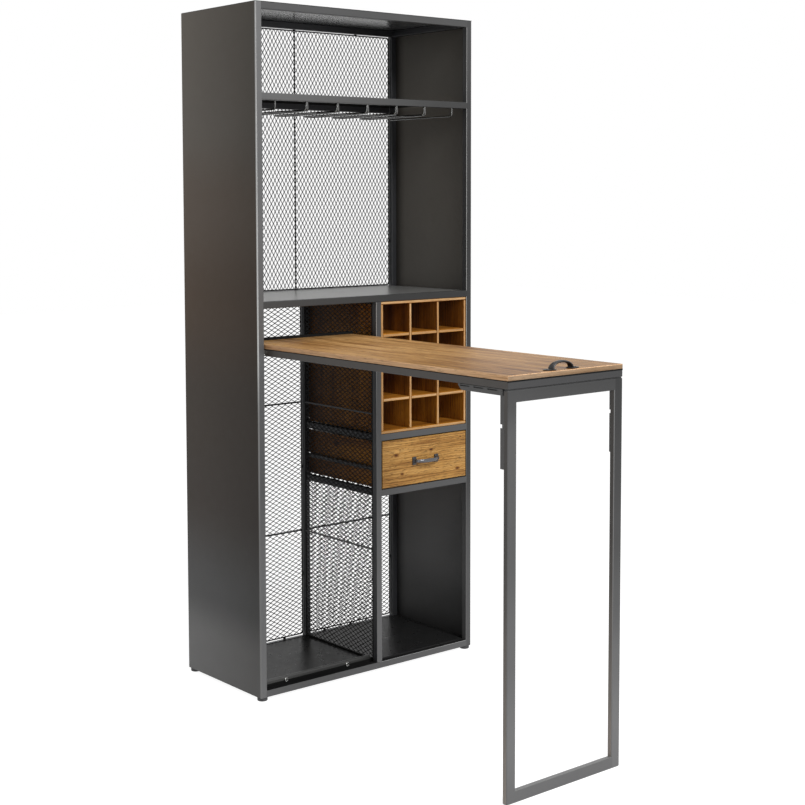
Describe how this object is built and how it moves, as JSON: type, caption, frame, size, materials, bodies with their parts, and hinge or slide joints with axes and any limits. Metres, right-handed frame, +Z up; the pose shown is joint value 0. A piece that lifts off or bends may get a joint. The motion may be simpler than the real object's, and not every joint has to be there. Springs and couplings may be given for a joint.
{
  "type": "bar shelving unit",
  "caption": "Tall steel bar cabinet with mesh back, stemware rail, wooden bottle rack and drawer, and a fold-down wooden bar table on a hinged leg frame.",
  "frame": {"origin": "on the floor, in the middle of the footprint of cabinet and table", "axes": "+X to the right seen from the front, +Y from the table to the cabinet's back, +Z up"},
  "size_m": [0.823, 1.367, 2],
  "materials": {
    "graphite": "satin graphite lacquer",
    "dark_steel": "dark satin lacquer",
    "bright_steel": "plain drawn steel",
    "oak": "oiled, with knots",
    "pale_oak": "matt oiled, grain along the leaf",
    "rubber": "matt"
  },
  "bodies": {
    "cabinet": {"side_frame_left": "graphite", "side_frame_right": "graphite", "divider_frame": "graphite", "side_panel_left": "graphite", "side_panel_right": "graphite", "top_panel": "graphite", "rail_top_front": "graphite", "rail_top_rear": "graphite", "rail_bottom_front": "graphite", "rail_bottom_rear": "graphite", "rail_rack_front": "graphite", "rail_drawer_front": "graphite", "shelf_upper": "graphite", "shelf_mid": "graphite", "floor_left": "dark_steel", "floor_right": "dark_steel", "net_back_upper": "dark_steel", "net_back_left": "dark_steel", "net_back_right": "dark_steel", "net_divider": "dark_steel", "runner_left": "dark_steel", "runner_right": "dark_steel", "bumper_left": "bright_steel", "bumper_right": "bright_steel", "pivot_pin_left": "bright_steel", "pivot_pin_right": "bright_steel", "stem_wire_1": "bright_steel", "stem_wire_2": "bright_steel", "stem_wire_3": "bright_steel", "stem_wire_4": "bright_steel", "stem_wire_5": "bright_steel", "stem_wire_6": "bright_steel", "stem_wire_7": "bright_steel", "rack_bottom": "oak", "rack_top": "oak", "rack_side_left": "oak", "rack_side_right": "oak", "rack_upright_1": "oak", "rack_upright_2": "oak", "rack_deck_1": "oak", "rack_deck_2": "oak", "rack_deck_3": "oak", "foot_front_left": "rubber", "foot_front_right": "rubber", "foot_rear_left": "rubber", "foot_rear_right": "rubber"},
    "drawer": {"drawer_front": "oak", "drawer_side_left": "oak", "drawer_side_right": "oak", "drawer_back": "oak", "drawer_bottom": "oak", "drawer_pull": "dark_steel"},
    "leaf": {"leaf_board": "pale_oak", "leaf_frame": "graphite", "leaf_handle": "dark_steel", "bracket_arm_left": "dark_steel", "bracket_arm_right": "dark_steel"},
    "leg": {"leg_frame": "graphite", "bracket_strut_left": "dark_steel", "bracket_strut_right": "dark_steel"}
  },
  "joints": [
    {"name": "drawer_slide", "type": "slide", "parent": "cabinet", "child": "drawer", "axis": [0, -1, 0], "range_m": [0, 0.25]},
    {"name": "leaf_fold", "type": "hinge", "parent": "cabinet", "child": "leaf", "pos_m": [0, 0.3075, 1.0107], "axis": [1, 0, 0], "range_deg": [0, 72]},
    {"name": "leg_fold", "type": "hinge", "parent": "leaf", "child": "leg", "pos_m": [0, -0.66, 0.9912], "axis": [1, 0, 0], "range_deg": [0, 90]}
  ],
  "couplings": [
    {"joint": "leg_fold", "follows": "leaf_fold", "ratio": 1.25}
  ]
}
